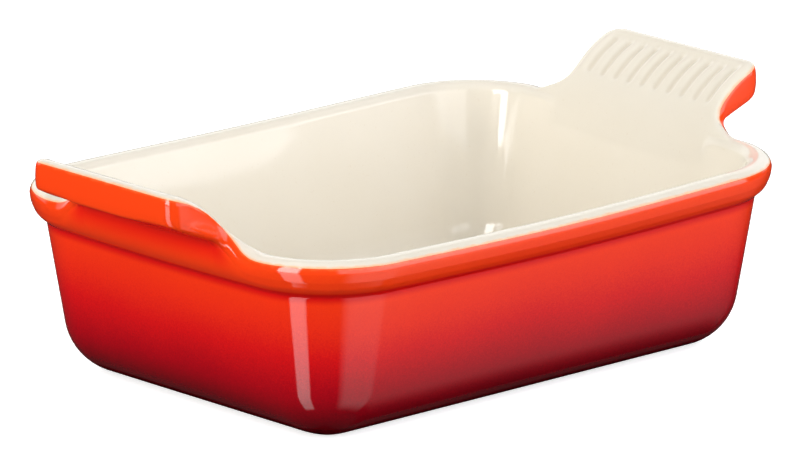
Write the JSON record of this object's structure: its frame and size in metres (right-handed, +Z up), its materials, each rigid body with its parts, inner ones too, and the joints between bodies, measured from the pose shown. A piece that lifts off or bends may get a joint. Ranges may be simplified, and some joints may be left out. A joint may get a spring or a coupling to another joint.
{
  "type": "baking dish",
  "caption": "Deep rectangular glazed stoneware baking dish with a rolled rim band and flared ribbed handles at both ends, cream inside and red fading darker outside.",
  "frame": {"origin": "centre of the bounding box on the table plane, under the middle of the dish", "axes": "+X along the dish from handle to handle, +Y across it, +Z up out of the open top"},
  "size_m": [0.3054, 0.1932, 0.0983],
  "materials": {
    "stoneware": "bare fired clay, fine grained and matt",
    "cream_glaze": "smooth glossy cream glaze",
    "red_glaze": "glossy red glaze, orange at the rim and fading to dark red at the base",
    "base_red_glaze": "glossy dark red glaze"
  },
  "bodies": {
    "root": {"stoneware_body": "stoneware", "inner_glaze": "cream_glaze", "outer_glaze": "red_glaze", "base_glaze": "base_red_glaze"}
  },
  "joints": []
}
